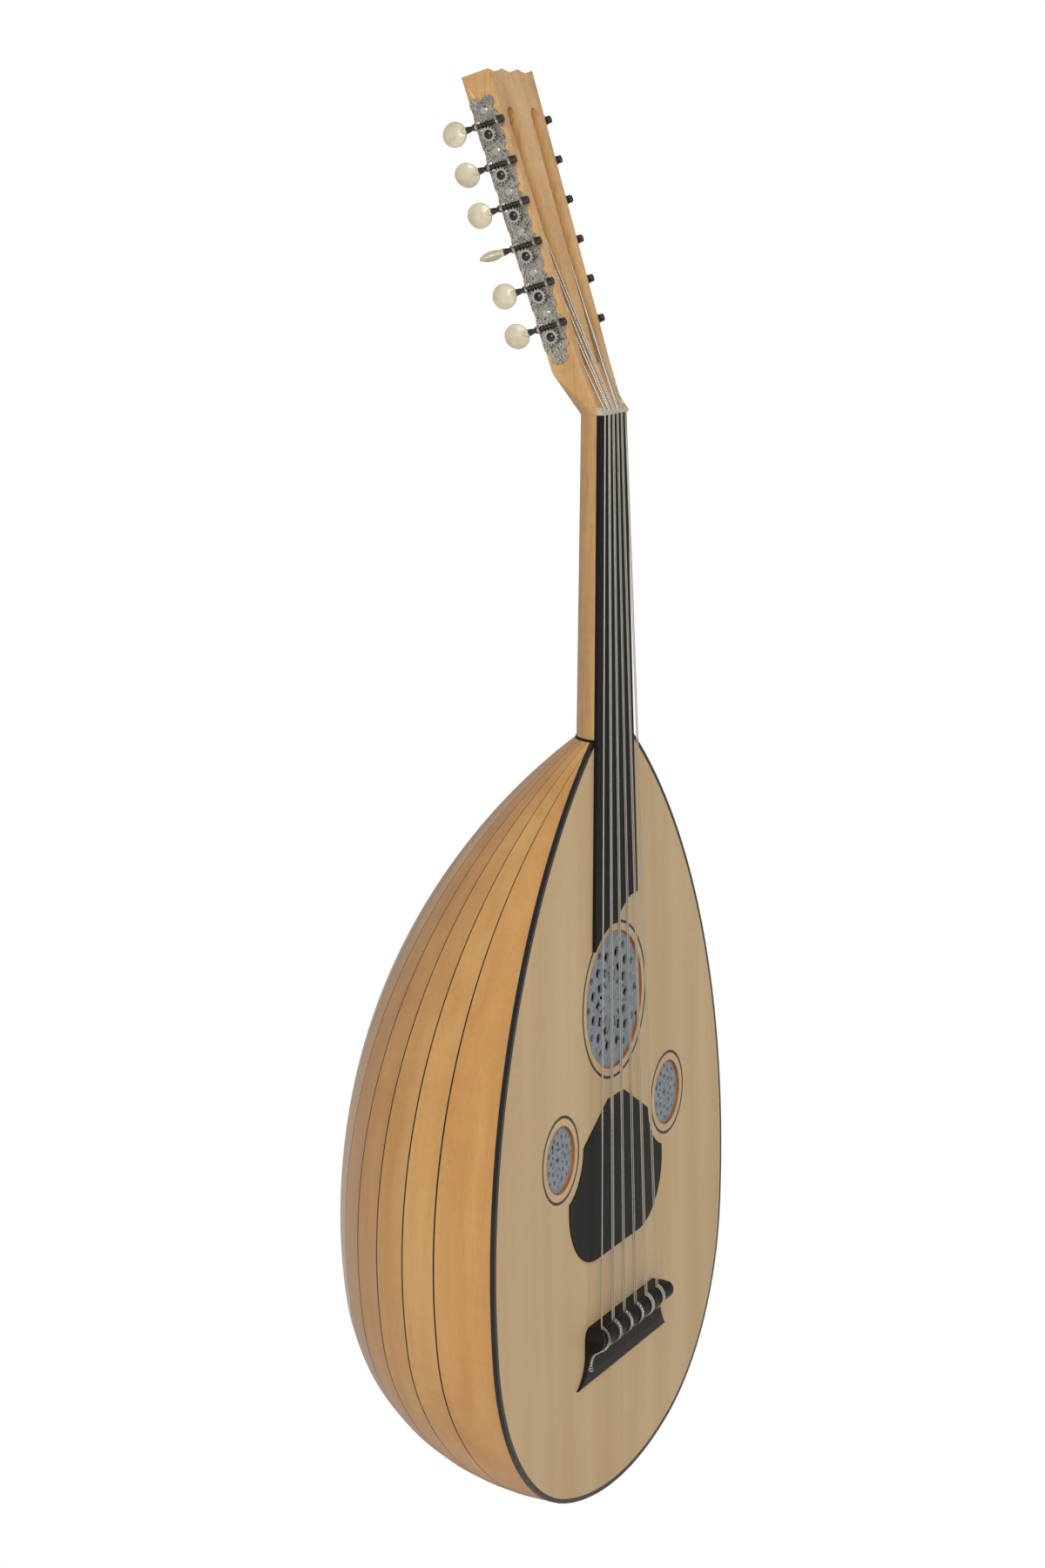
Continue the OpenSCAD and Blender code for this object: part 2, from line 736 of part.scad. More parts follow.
// Loop of string over the rounded top of the tie block, down to both ends of the hole
module tie(i) {
    r = course_r[course(i)];
    inner = tie_r + tie_gap;
    reach = sqrt(pow(inner + r, 2) - pow(bridge_string_h + tie_c[0], 2));
    translate([bridge_x(i) - r, 0, 0]) rotate([90, 0, 90]) linear_extrude(2 * r) difference() {
        disc2(tie_c, inner + 2 * r);
        disc2(tie_c, inner);
        translate([-bridge_string_h, tie_c[1] - 20]) square([40, 40]);
    }
    back_end = [bridge_x(i), -bridge_string_h, tie_c[1] - reach - r];
    front_end = [bridge_x(i), -bridge_string_h, tie_c[1] + reach];
    rod(back_end, front_end, r);
}

winding_turns = 4;

module winding(i) {
    r = course_r[course(i)];
    p = post_axis(i);
    step = 1.7 * r;
    head_frame() translate(p) rotate([0, side_of(i) * head_taper, 0]) rotate([0, 90, 0])
        rotate_extrude($fn = 48) union() {
            for (t = [0:winding_turns - 1])
                translate([wind_r(i), (t - (winding_turns - 1) / 2) * step])
                    circle(r = r + bead_more, $fn = 24);
        }
}

module one_string(i) {
    r = course_r[course(i)];
    start = [bridge_x(i), -bridge_string_h, -scale_length + tie_gap + r / 2];
    over = [nut_x(i), string_y, 0];
    rod(start, over, r);
    rod(over, nut_end(i), r);
    rod(nut_end(i), wind_point(i), r);
    for (p = [start, over, nut_end(i)]) bead(p, r + bead_more);
    tie(i);
    winding(i);
}

module wound_strings() { color([0.75, 0.75, 0.76]) for (i = [0:6]) one_string(i); }
module plain_strings() { color([0.8, 0.82, 0.8]) for (i = [7:10]) one_string(i); }

// Bridge: rounded and drilled tie block on a base that flares to pointed tips
bridge_shift = 6;
base_thick = 3.2;
flare_r = 24;

// One side of the base's outline: rounded end of the tie block, then a hollow flare out to the tip
function bridge_side() = let (
    front = -scale_length,
    z = front - 2 * tie_half,
    low = 2 * tie_half - bridge_depth,
    flare_x = bridge_half + flare_r
) concat(
    [[bridge_half - 6, front], [bridge_half - 1.5, front - 3], [bridge_half, front - tie_half]],
    arc_points([flare_x, z], flare_r, 180, 180 - asin(low / flare_r), 12),
    [[flare_x - sqrt(flare_r * flare_r - low * low), z + low]]
);

module bridge() {
    front = -scale_length;
    low = front - bridge_depth;
    side = bridge_side();
    n = len(side);
    color([0.08, 0.08, 0.08]) difference() {
        intersection() {
            translate([-2 * bridge_half, 0, 0]) rotate([90, 0, 90]) linear_extrude(4 * bridge_half) union() {
                disc2(tie_c, tie_r);
                translate([tie_c[0], tie_c[1] - tie_r]) square([-tie_c[0], 2 * tie_r]);
                polygon([
                    [0, front - tie_half],
                    [-base_thick, front - tie_half],
                    [-base_thick, low + 8],
                    [-base_thick + 1.4, low + 0.6],
                    [-base_thick + 2, low],
                    [0, low]
                ]);
            }
            translate([bridge_shift, 0, 0]) rotate([90, 0, 0]) linear_extrude(bridge_h + 2)
                polygon(concat(side, [for (k = [n - 1:-1:0]) [-side[k][0], side[k][1]]]));
        }
        for (i = [0:10]) translate([bridge_x(i), -bridge_string_h, front - 2 * tie_half - 8])
            cylinder(r = course_r[course(i)] + 0.15, h = 2 * tie_half + 20, $fn = 24);
    }
}

// Pickguard: shield with hollowed shoulders around the small rings
guard_thick = 0.8;
guard_clear = 7.6;

module pickguard() {
    lower_c = [35, -510];
    lower_r = 42;
    flare = lower_c[0] + lower_r;
    color([0.1, 0.1, 0.1]) rotate([90, 0, 0]) difference() {
        union() {
            linear_extrude(guard_thick) polygon([
                [-13, -449],
                [13, -449],
                [52, -471],
                [flare, -500],
                [flare - 0.5, lower_c[1] - 5],
                [lower_c[0], lower_c[1] - lower_r],
                [-lower_c[0], lower_c[1] - lower_r],
                [-flare + 0.5, lower_c[1] - 5],
                [-flare, -500],
                [-52, -471]
            ]);
            for (side = [-1, 1]) translate([side * lower_c[0], lower_c[1], 0])
                cylinder(r = lower_r, h = guard_thick, $fn = 180);
        }
        for (side = [-1, 1]) translate([side * small_hole_out, -small_hole_at, -1])
            cylinder(r = small_ring_r + guard_clear, h = guard_thick + 2, $fn = 180);
    }
}

soundboard();
soundboard_braces();
main_rosette();
small_rosette(-1);  // bass_rosette
small_rosette(1);  // treble_rosette
soundhole_rings();
edge_binding();
bowl_ribs();
rib_purfling();
neck_block();
tail_block();
neck();
heel_band();
fingerboard();
nut();
headstock();
bridge();
pickguard();
tuner_plate(-1);  // bass_tuner_plate
tuner_plate(1);  // treble_tuner_plate
tuner_plate_screws();
wound_strings();
plain_strings();
for (k = [0:5]) {
    button(-1, k);
    worm_shaft(-1, k);
    post(-1, k);
    button(1, k);
    worm_shaft(1, k);
    post(1, k);
}
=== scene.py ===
import json
import math
import random

import bmesh
import bpy
from mathutils import Matrix, Vector


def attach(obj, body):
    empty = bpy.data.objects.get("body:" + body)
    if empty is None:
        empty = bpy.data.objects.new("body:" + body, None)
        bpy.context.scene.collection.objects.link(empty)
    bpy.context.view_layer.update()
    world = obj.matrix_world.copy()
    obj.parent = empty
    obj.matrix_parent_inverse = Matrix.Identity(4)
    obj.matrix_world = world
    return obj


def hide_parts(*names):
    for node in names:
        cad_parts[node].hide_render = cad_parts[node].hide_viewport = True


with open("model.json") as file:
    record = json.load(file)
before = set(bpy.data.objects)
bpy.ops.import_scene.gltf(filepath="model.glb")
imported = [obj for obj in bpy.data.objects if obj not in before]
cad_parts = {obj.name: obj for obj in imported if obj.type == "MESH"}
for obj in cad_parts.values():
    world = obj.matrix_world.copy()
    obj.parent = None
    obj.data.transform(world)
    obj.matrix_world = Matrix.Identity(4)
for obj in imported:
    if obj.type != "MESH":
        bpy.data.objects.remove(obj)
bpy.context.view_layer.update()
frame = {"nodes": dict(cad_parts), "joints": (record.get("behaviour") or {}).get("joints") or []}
NODES = frame["nodes"]
JOINTS = {j["name"]: j for j in frame["joints"]}
SCENE = bpy.context.scene
MM = 0.001
random.seed(7)

# Bowl, in metres: three tangent arcs turned about an axis in front of the soundboard
JOINT_Z = -0.208
BOWL_TOP = JOINT_Z - 0.8 * MM
BODY_LENGTH, HALF_WIDTH, WIDEST_AT = 0.508, 0.190, 0.322
TAIL_Z = JOINT_Z - BODY_LENGTH
SIDE_R, END_R, CORNER_ANGLE = 0.405, 0.271, math.radians(7)
BOWL_OFFSET, RIB_THICK, BINDING = 8 * MM, 3 * MM, 3 * MM
RIB_COUNT = 17
SIDE_RIB, SEAM = math.radians(16.3), math.radians(0.42)
RIB_ANGLE = (math.pi - 2 * SIDE_RIB) / RIB_COUNT


# ---------------------------------------------------------------- materials

def linear(code):
    """sRGB hex to a linear colour."""
    parts = [int(code[i:i + 2], 16) / 255 for i in (1, 3, 5)]
    return tuple(c / 12.92 if c <= 0.04045 else ((c + 0.055) / 1.055) ** 2.4
                 for c in parts) + (1.0,)


def add(tree, kind, settings=None, links=None, stops=()):
    """Adds a node with its settings, its inputs' links or values, and a ramp's stops."""
    n = tree.nodes.new(kind)
    for key, value in (settings or {}).items():
        setattr(n, key, value)
    for key, value in (links or {}).items():
        if isinstance(value, bpy.types.NodeSocket):
            tree.links.new(value, n.inputs[key])
        else:
            n.inputs[key].default_value = value
    if stops:
        points = n.color_ramp.elements
        while len(points) < len(stops):
            points.new(0.5)
        for point, (at, colour) in zip(points, stops):
            point.position = at
            point.color = (linear(colour) if isinstance(colour, str)
                           else (colour, colour, colour, 1))
    return n


def new_material(name, shader_values):
    """A material, its tree and its principled shader, whose plain numbers are set at once."""
    m = bpy.data.materials.new(name)
    m.use_nodes = True
    tree = m.node_tree
    tree.nodes.clear()
    shader = add(tree, "ShaderNodeBsdfPrincipled", None, shader_values)
    add(tree, "ShaderNodeOutputMaterial", None, {"Surface": shader.outputs[0]})
    return m, tree, shader


def surface(tree, shader, colour, dull, relief):
    """Gives the shader its colour, its roughness and its bump."""
    for socket, source in (("Base Color", colour), ("Roughness", dull.outputs[0]),
                           ("Normal", relief.outputs[0])):
        tree.links.new(source, shader.inputs[socket])


RAMP, NOISE, MAP = "ShaderNodeValToRGB", "ShaderNodeTexNoise", "ShaderNodeMapping"
MIX, MATH, VECTOR_MATH = "ShaderNodeMix", "ShaderNodeMath", "ShaderNodeVectorMath"
COORDINATES, BUMP = "ShaderNodeTexCoord", "ShaderNodeBump"
FAC, COLOUR_A, COLOUR_B, COLOUR_OUT = 0, 6, 7, 2
MULTIPLY = {"data_type": "RGBA", "blend_type": "MULTIPLY"}
BLEND = {"data_type": "RGBA", "blend_type": "MIX"}

# Patterns in wood, in cycles per metre across, through and along the fibres
FIGURE = (45, 45, 3.2)
FLAME = (22, 22, 130)
FIBRE_STRETCH = 28
FIBRE_RELIEF = 0.15 * MM


def wood(name, shades, fibre_mm, coat, darkening, flame=0.0, tone=None, gleam=0.35):
    """Lacquered wood, fibres along Z: broad figure in three shades, fibres, flame across."""
    m, tree, shader = new_material(name, {
        "Specular IOR Level": gleam, "Coat Weight": coat, "Coat Roughness": 0.07})
    place = add(tree, COORDINATES).outputs["Object"]
    per_m = 1 / (fibre_mm * MM)
    along = add(tree, MAP, None, {
        "Vector": place, "Scale": (per_m, per_m, per_m / FIBRE_STRETCH)})
    fibre = add(tree, NOISE, None, {
        "Vector": along.outputs[0], "Scale": 1, "Detail": 5, "Roughness": 0.62})
    figure = add(tree, MAP, None, {"Vector": place, "Scale": FIGURE})
    broad = add(tree, NOISE, None, {
        "Vector": figure.outputs[0], "Scale": 1, "Detail": 3, "Distortion": 0.4})
    base = add(tree, RAMP, None, {"Fac": broad.outputs["Fac"]},
               [(0.30, shades[0]), (0.52, shades[1]), (0.78, shades[2])])
    lines = add(tree, RAMP, None, {"Fac": fibre.outputs["Fac"]},
                [(0.36, 1 - darkening), (0.5, 1.0), (0.7, 1 - darkening / 3)])
    mixed = add(tree, MIX, MULTIPLY, {
        FAC: 1.0, COLOUR_A: base.outputs[0], COLOUR_B: lines.outputs[0]})
    if flame:
        across = add(tree, MAP, None, {"Vector": place, "Scale": FLAME})
        waves = add(tree, NOISE, None, {
            "Vector": across.outputs[0], "Scale": 1, "Detail": 2, "Distortion": 0.6})
        shade = add(tree, RAMP, None, {"Fac": waves.outputs["Fac"]}, [(0.36, 0.74), (0.62, 1.0)])
        mixed = add(tree, MIX, MULTIPLY, {
            FAC: flame, COLOUR_A: mixed.outputs[COLOUR_OUT], COLOUR_B: shade.outputs[0]})
    if tone:
        own = add(tree, "ShaderNodeAttribute", {"attribute_name": tone})
        shade = add(tree, RAMP, None, {"Fac": own.outputs["Fac"]},
                    [(0.0, "#E6D6C4"), (1.0, "#FFFFFF")])
        mixed = add(tree, MIX, MULTIPLY, {
            FAC: 1.0, COLOUR_A: mixed.outputs[COLOUR_OUT], COLOUR_B: shade.outputs[0]})
    dull = add(tree, RAMP, None, {"Fac": fibre.outputs["Fac"]}, [(0.3, 0.44), (0.7, 0.58)])
    relief = add(tree, BUMP, None, {
        "Height": fibre.outputs["Fac"], "Strength": 0.12, "Distance": FIBRE_RELIEF})
    surface(tree, shader, mixed.outputs[COLOUR_OUT], dull, relief)
    return m


# Maple under clear lacquer: honey coloured, with fine fibres along each rib and a slow sheen
MAPLE_RIBS = wood("lacquered_maple_ribs", ("#E6B26C", "#DFA862", "#D29A54"),
                  1.1, 0.85, 0.10, 0.10, "rib_tone")
# Maple of neck and head: a little browner, with more grain showing through the lacquer
MAPLE_NECK = wood("lacquered_maple_neck", ("#E6BC84", "#DBAC72", "#C4935A"),
                  1.4, 0.75, 0.22, 0.2)
# Ebony: nearly black, close grained, polished by the fingers to a dull sheen
EBONY = wood("ebony", ("#131212", "#0E0D0D", "#080808"), 0.9, 0.04, 0.3, gleam=0.22)
# Dyed veneer: brown-black lines and edge
DYED_LINE = wood("dyed_veneer", ("#17110E", "#120D0B", "#0D0908"), 1.2, 0.5, 0.2)
# Bare spruce inside the box: unfinished and pale
BARE_SPRUCE = wood("bare_spruce", ("#DCC39A", "#CFB185", "#BE9C6E"), 2.0, 0.0, 0.25)

# Patterns in the top, in cycles per metre across, through and along the grain
TOP_WANDER = (14, 14, 1.6)
TOP_SHADES = (24, 24, 1.8)
TOP_STREAKS = (120, 120, 7)
TOP_RAYS = (110, 110, 650)
YEAR_RING, RING_WANDER = 1.3 * MM, 10 * MM
# Sound holes: x, z and radius; their cut edges are stained orange-brown
HOLES = [(0, -0.3844, 45.5 * MM), (-0.0886, -0.470, 21.8 * MM), (0.0886, -0.470, 21.8 * MM)]
HOLE_EDGE = 0.5 * MM


def spruce_top():
    """Quartered spruce, thinly varnished: straight grain, silky rays and reddish streaks."""
    m, tree, shader = new_material("quartered_spruce_top", {
        "Specular IOR Level": 0.3, "Coat Weight": 0.12, "Coat Roughness": 0.28})
    place = add(tree, COORDINATES).outputs["Object"]
    slow = add(tree, MAP, None, {"Vector": place, "Scale": TOP_WANDER})
    wander = add(tree, NOISE, None, {"Vector": slow.outputs[0], "Scale": 1, "Detail": 2})
    split = add(tree, "ShaderNodeSeparateXYZ", None, {"Vector": place})
    bent = add(tree, MATH, {"operation": "MULTIPLY_ADD"}, {
        0: wander.outputs["Fac"], 1: RING_WANDER, 2: split.outputs["X"]})
    count = add(tree, MATH, {"operation": "MULTIPLY"}, {0: bent.outputs[0], 1: 1 / YEAR_RING})
    year = add(tree, MATH, {"operation": "FRACT"}, {0: count.outputs[0]})
    rings = add(tree, RAMP, None, {"Fac": year.outputs[0]},
                [(0.0, 1.0), (0.60, 0.98), (0.86, 0.88), (0.96, 0.86), (1.0, 1.0)])
    wide = add(tree, MAP, None, {"Vector": place, "Scale": TOP_SHADES})
    broad = add(tree, NOISE, None, {
        "Vector": wide.outputs[0], "Scale": 1, "Detail": 3, "Roughness": 0.5})
    base = add(tree, RAMP, None, {"Fac": broad.outputs["Fac"]},
               [(0.30, "#D8BC92"), (0.5, "#D0B287"), (0.72, "#C8A77B")])
    lined = add(tree, MIX, MULTIPLY, {
        FAC: 1.0, COLOUR_A: base.outputs[0], COLOUR_B: rings.outputs[0]})
    thin = add(tree, MAP, None, {"Vector": place, "Scale": TOP_STREAKS})
    streak = add(tree, NOISE, None, {
        "Vector": thin.outputs[0], "Scale": 1, "Detail": 4, "Roughness": 0.7})
    where = add(tree, RAMP, None, {"Fac": streak.outputs["Fac"]}, [(0.60, 0.0), (0.80, 0.34)])
    warm = add(tree, MIX, BLEND, {
        FAC: where.outputs[0], COLOUR_A: lined.outputs[COLOUR_OUT], COLOUR_B: linear("#BC8F66")})
    cross = add(tree, MAP, None, {"Vector": place, "Scale": TOP_RAYS})
    rays = add(tree, NOISE, None, {
        "Vector": cross.outputs[0], "Scale": 1, "Detail": 3, "Roughness": 0.6})
    silk = add(tree, RAMP, None, {"Fac": rays.outputs["Fac"]}, [(0.4, 0.90), (0.62, 1.0)])
    final = add(tree, MIX, MULTIPLY, {
        FAC: 0.45, COLOUR_A: warm.outputs[COLOUR_OUT], COLOUR_B: silk.outputs[0]})
    for x, z, radius in HOLES:
        off = add(tree, VECTOR_MATH, {"operation": "SUBTRACT"}, {0: place, 1: (x, 0, z)})
        flat = add(tree, VECTOR_MATH, {"operation": "MULTIPLY"}, {
            0: off.outputs[0], 1: (1, 0, 1)})
        reach = add(tree, VECTOR_MATH, {"operation": "LENGTH"}, {0: flat.outputs[0]})
        near = add(tree, MATH, {"operation": "LESS_THAN"}, {
            0: reach.outputs["Value"], 1: radius + HOLE_EDGE})
        final = add(tree, MIX, BLEND, {
            FAC: near.outputs[0], COLOUR_A: final.outputs[COLOUR_OUT],
            COLOUR_B: linear("#A5673A")})
    dull = add(tree, RAMP, None, {"Fac": rays.outputs["Fac"]}, [(0.3, 0.48), (0.7, 0.58)])
    relief = add(tree, BUMP, None, {
        "Height": year.outputs[0], "Strength": 0.08, "Distance": 0.1 * MM})
    surface(tree, shader, final.outputs[COLOUR_OUT], dull, relief)
    return m


SPRUCE = spruce_top()


def mottled(name, colour, second, spot_mm, metallic, roughness, relief_mm, coat=0.0, span=0.07):
    """Even finish broken up by fine mottling in its colour, its roughness and its height."""
    m, tree, shader = new_material(name, {
        "Metallic": metallic, "Coat Weight": coat, "Coat Roughness": 0.08})
    place = add(tree, COORDINATES).outputs["Object"]
    spots = add(tree, NOISE, None, {
        "Vector": place, "Scale": 1 / (spot_mm * MM), "Detail": 5, "Roughness": 0.6})
    base = add(tree, RAMP, None, {"Fac": spots.outputs["Fac"]}, [(0.36, colour), (0.68, second)])
    dull = add(tree, RAMP, None, {"Fac": spots.outputs["Fac"]},
               [(0.3, roughness - span), (0.7, roughness + span)])
    relief = add(tree, BUMP, None, {
        "Height": spots.outputs["Fac"], "Strength": 0.3, "Distance": relief_mm * MM})
    surface(tree, shader, base.outputs[0], dull, relief)
    return m


# Polished bone: cream with faint brown pores
BONE = mottled("polished_bone", "#CFC5B0", "#BCAF96", 1.4, 0.0, 0.34, 0.02, 0.3)
# Moulded pearloid plastic: milky cream with soft clouds and a clear gloss
PEARL = mottled("pearloid_plastic", "#E6DDC4", "#D2C7A6", 5.0, 0.0, 0.26, 0.01, 0.6)
# Nickel plate on brass, bright with dull wear: gears, posts and screws
NICKEL = mottled("worn_nickel_plate", "#F4F2EC", "#DDD9D1", 1.0, 1.0, 0.36, 0.02)
# Black nickel: worm shafts, dark with brown-grey highlights; also painted as shade on the sideways
# faces of the posts and gears
DARK_NICKEL_AND_SIDE_SHADE = mottled("black_nickel_and_side_shade", "#6E675F", "#46403A", 0.9, 1.0, 0.30, 0.04)
# Moulded black plastic caps: deep and glossy
BLACK_CAP = mottled("black_plastic_cap", "#0B0B0C", "#131314", 1.0, 0.0, 0.2, 0.01, 0.5)
# Clear nylon: pale grey, almost lost against the wood
NYLON = mottled("clear_nylon", "#BDB6A6", "#A79F8E", 0.8, 0.0, 0.3, 0.01)
# Silver-plated string ends: bright, and too thin for their winding to show
SILVER_TWIST = mottled("silver_plated_string_end", "#DDDAD3", "#B9B5AD", 0.8, 1.0, 0.34, 0.02)
# Painted veneer of the rosettes: matt blue-grey with cloudy wear, with black spots of painted
# shade added below
ROSETTE = mottled("blue_grey_veneer", "#949CA2", "#78818A", 3.0, 0.0, 0.62, 0.05)


def painted_hole_shade(m):
    """Black spots about 3 mm across over the veneer between the pierced holes: painted shade,
    standing for further cut-outs that would show the dark inside of the bowl.
    """
    tree = m.node_tree
    shader = next(n for n in tree.nodes if n.type == "BSDF_PRINCIPLED")
    veneer = shader.inputs["Base Color"].links[0].from_socket
    place = add(tree, COORDINATES).outputs["Object"]
    cells = add(tree, "ShaderNodeTexVoronoi", {"distance": "MANHATTAN"}, {
        "Vector": place, "Scale": 1 / (9.5 * MM)})
    # Painted shade: near-black spots where cut-outs would show the dark inside
    black = add(tree, RAMP, None, {"Fac": cells.outputs["Distance"]}, [(0.20, 1.0), (0.23, 0.0)])
    base = add(tree, MIX, BLEND, {
        FAC: black.outputs[0], COLOUR_A: veneer, COLOUR_B: linear("#151515")})
    tree.links.new(base.outputs[COLOUR_OUT], shader.inputs["Base Color"])


painted_hole_shade(ROSETTE)


def wound_silver():
    """Silver-plated copper winding: 0.2 mm turns, drawn 1 mm apart in dark and bright bands,
    painted shade between the turns and painted highlight on them, to show as a shimmer.
    """
    m, tree, shader = new_material("silver_wound_string", {"Metallic": 1.0, "Roughness": 0.36})
    place = add(tree, COORDINATES).outputs["Object"]
    turns = add(tree, "ShaderNodeTexWave", {"wave_type": "BANDS", "bands_direction": "Z"}, {
        "Vector": place, "Scale": 1 / (3.2 * MM), "Distortion": 0.3, "Detail": 1.0})
    # Painted shade and painted highlight: dark bands between the turns, bright bands on them
    base = add(tree, RAMP, None, {"Fac": turns.outputs["Fac"]},
               [(0.1, "#97938B"), (0.6, "#D6D3CC")])
    relief = add(tree, BUMP, None, {
        "Height": turns.outputs["Fac"], "Strength": 0.4, "Distance": 0.1 * MM})
    tree.links.new(base.outputs[0], shader.inputs["Base Color"])
    tree.links.new(relief.outputs[0], shader.inputs["Normal"])
    return m


WOUND = wound_silver()


def engraved_plate():
    """Stamped nickel silver: scrolls about 2 mm wide, bright on top and dark in the cuts."""
    m, tree, shader = new_material("engraved_nickel_silver", {"Metallic": 1.0})
    place = add(tree, COORDINATES).outputs["Object"]
    curls = add(tree, NOISE, None, {
        "Vector": place, "Scale": 1 / (6.5 * MM), "Detail": 1.0, "Distortion": 2.2})
    lines = add(tree, MATH, {"operation": "MULTIPLY"}, {0: curls.outputs["Fac"], 1: 16.0})
    wave = add(tree, MATH, {"operation": "SINE"}, {0: lines.outputs[0]})
    depth = add(tree, MATH, {"operation": "ABSOLUTE"}, {0: wave.outputs[0]})
    cut = add(tree, RAMP, None, {"Fac": depth.outputs[0]}, [(0.22, 0.0), (0.50, 1.0)])
    tarnish = add(tree, NOISE, None, {"Vector": place, "Scale": 1 / (4 * MM), "Detail": 4})
    top = add(tree, RAMP, None, {"Fac": tarnish.outputs["Fac"]},
              [(0.35, "#E6E2DA"), (0.70, "#C9C4BA")])
    base = add(tree, MIX, BLEND, {
        FAC: cut.outputs[0], COLOUR_A: linear("#6A645B"), COLOUR_B: top.outputs[0]})
    dull = add(tree, RAMP, None, {"Fac": cut.outputs[0]}, [(0.0, 0.55), (1.0, 0.30)])
    relief = add(tree, BUMP, None, {
        "Height": cut.outputs[0], "Strength": 0.5, "Distance": 0.3 * MM})
    surface(tree, shader, base.outputs[COLOUR_OUT], dull, relief)
    return m


PLATE = engraved_plate()


def finish_node(name, material):
    NODES[name].data.materials.clear()
    NODES[name].data.materials.append(material)


# Cap on a post: where it starts beyond the joint, and its radius there
CAP_FROM, CAP_RADIUS, CAP_SLACK = 5.31 * MM, 2.9 * MM, 0.1 * MM
# Slots: the black cap, and the dark metal painted as shade on the sideways faces
CAP_SLOT, SIDE_SHADE_SLOT = 1, 2


def black_cap(node, joint):
    """Gives the domed cap its black plastic, and every face of the post and gear that turns
    sideways from the axis dark metal as painted shade, so the teeth stand out.
    """
    turn = JOINTS[joint]
    start, axis = Vector(turn["pos_m"]), Vector(turn["axis"]).normalized()
    mesh = NODES[node].data
    mesh.materials.append(BLACK_CAP)
    mesh.materials.append(DARK_NICKEL_AND_SIDE_SHADE)
    for face in mesh.polygons:
        # Painted shade: faces turned sideways from the axis get the dark metal
        if abs(face.normal.dot(axis)) < 0.5:
            face.material_index = SIDE_SHADE_SLOT
        from_head = face.center - start
        out = from_head.dot(axis)
        near_axis = (from_head - out * axis).length < CAP_RADIUS
        if out > CAP_FROM or (out > CAP_FROM - CAP_SLACK and near_axis):
            face.material_index = CAP_SLOT


for name, material in {
    "soundboard": SPRUCE, "soundboard_braces": BARE_SPRUCE, "neck_block": BARE_SPRUCE,
    "tail_block": BARE_SPRUCE, "main_rosette": ROSETTE, "bass_rosette": ROSETTE,
    "treble_rosette": ROSETTE, "soundhole_rings": DYED_LINE, "edge_binding": DYED_LINE,
    "rib_purfling": DYED_LINE, "bowl_ribs": MAPLE_RIBS, "neck": MAPLE_NECK,
    "headstock": MAPLE_NECK, "heel_band": EBONY, "fingerboard": EBONY, "bridge": EBONY,
    "pickguard": EBONY, "nut": BONE, "bass_tuner_plate": PLATE, "treble_tuner_plate": PLATE,
    "tuner_plate_screws": NICKEL, "wound_strings": WOUND, "plain_strings": NYLON,
}.items():
    finish_node(name, material)
for side in ("bass", "treble"):
    for k in range(1, 7):
        finish_node(f"{side}_button_{k}", PEARL)
        finish_node(f"{side}_worm_shaft_{k}", DARK_NICKEL_AND_SIDE_SHADE)
        finish_node(f"{side}_post_{k}", NICKEL)
        black_cap(f"{side}_post_{k}", f"{side}_roller_turn_{k}")


# ---------------------------------------------------------------- pieces

def shown(name, bm, material, smooth):
    """Makes a piece of a bmesh, with its material and smooth shading, on the instrument."""
    mesh = bpy.data.meshes.new(name)
    bm.to_mesh(mesh)
    bm.free()
    mesh.materials.append(material)
    piece = bpy.data.objects.new(name, mesh)
    SCENE.collection.objects.link(piece)
    mesh.shade_smooth()
    mesh.set_sharp_from_angle(angle=math.radians(smooth))
    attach(piece, "oud")
    return piece


def arc(centre, radius, start, end, count):
    """Points from the start angle up to, but without, the end angle."""
    return [(centre[0] + radius * math.cos(start + (end - start) * k / count),
             centre[1] + radius * math.sin(start + (end - start) * k / count))
            for k in range(count)]


SIDE_POINTS, CORNER_POINTS, END_POINTS = 56, 30, 26


def bowl_profile():
    """Points (distance from the axis, z) of the bowl's profile from the neck joint to the tail."""
    side_c = Vector((HALF_WIDTH - SIDE_R, JOINT_Z - WIDEST_AT))
    corner_dir = Vector((math.cos(CORNER_ANGLE), -math.sin(CORNER_ANGLE)))
    end_c = Vector((0, TAIL_Z + END_R))
    side_end = side_c + SIDE_R * corner_dir
    run = side_end - end_c
    corner_r = (run.dot(run) - END_R ** 2) / (2 * (corner_dir.dot(run) - END_R))
    corner_c = side_end - corner_r * corner_dir
    end_dir = (corner_c - end_c).normalized()
    end_a = math.atan2(end_dir.y, end_dir.x)
    top_a = math.asin((BOWL_TOP - side_c.y) / SIDE_R)
    tail_a = -math.acos(0.7 * BOWL_OFFSET / END_R)
    points = arc(side_c, SIDE_R, top_a, -CORNER_ANGLE, SIDE_POINTS)
    points += arc(corner_c, corner_r, -CORNER_ANGLE, end_a, CORNER_POINTS)
    points += arc(end_c, END_R, end_a, tail_a, END_POINTS)
    points.append((END_R * math.cos(tail_a), end_c.y + END_R * math.sin(tail_a)))
    return points


PROFILE = bowl_profile()
# Share of the full flatness across a rib, and of the CAD wall that its own wall takes
RIB_FLATNESS, WALL_SHARE = 0.75, 0.9
RIB_STEPS = 6


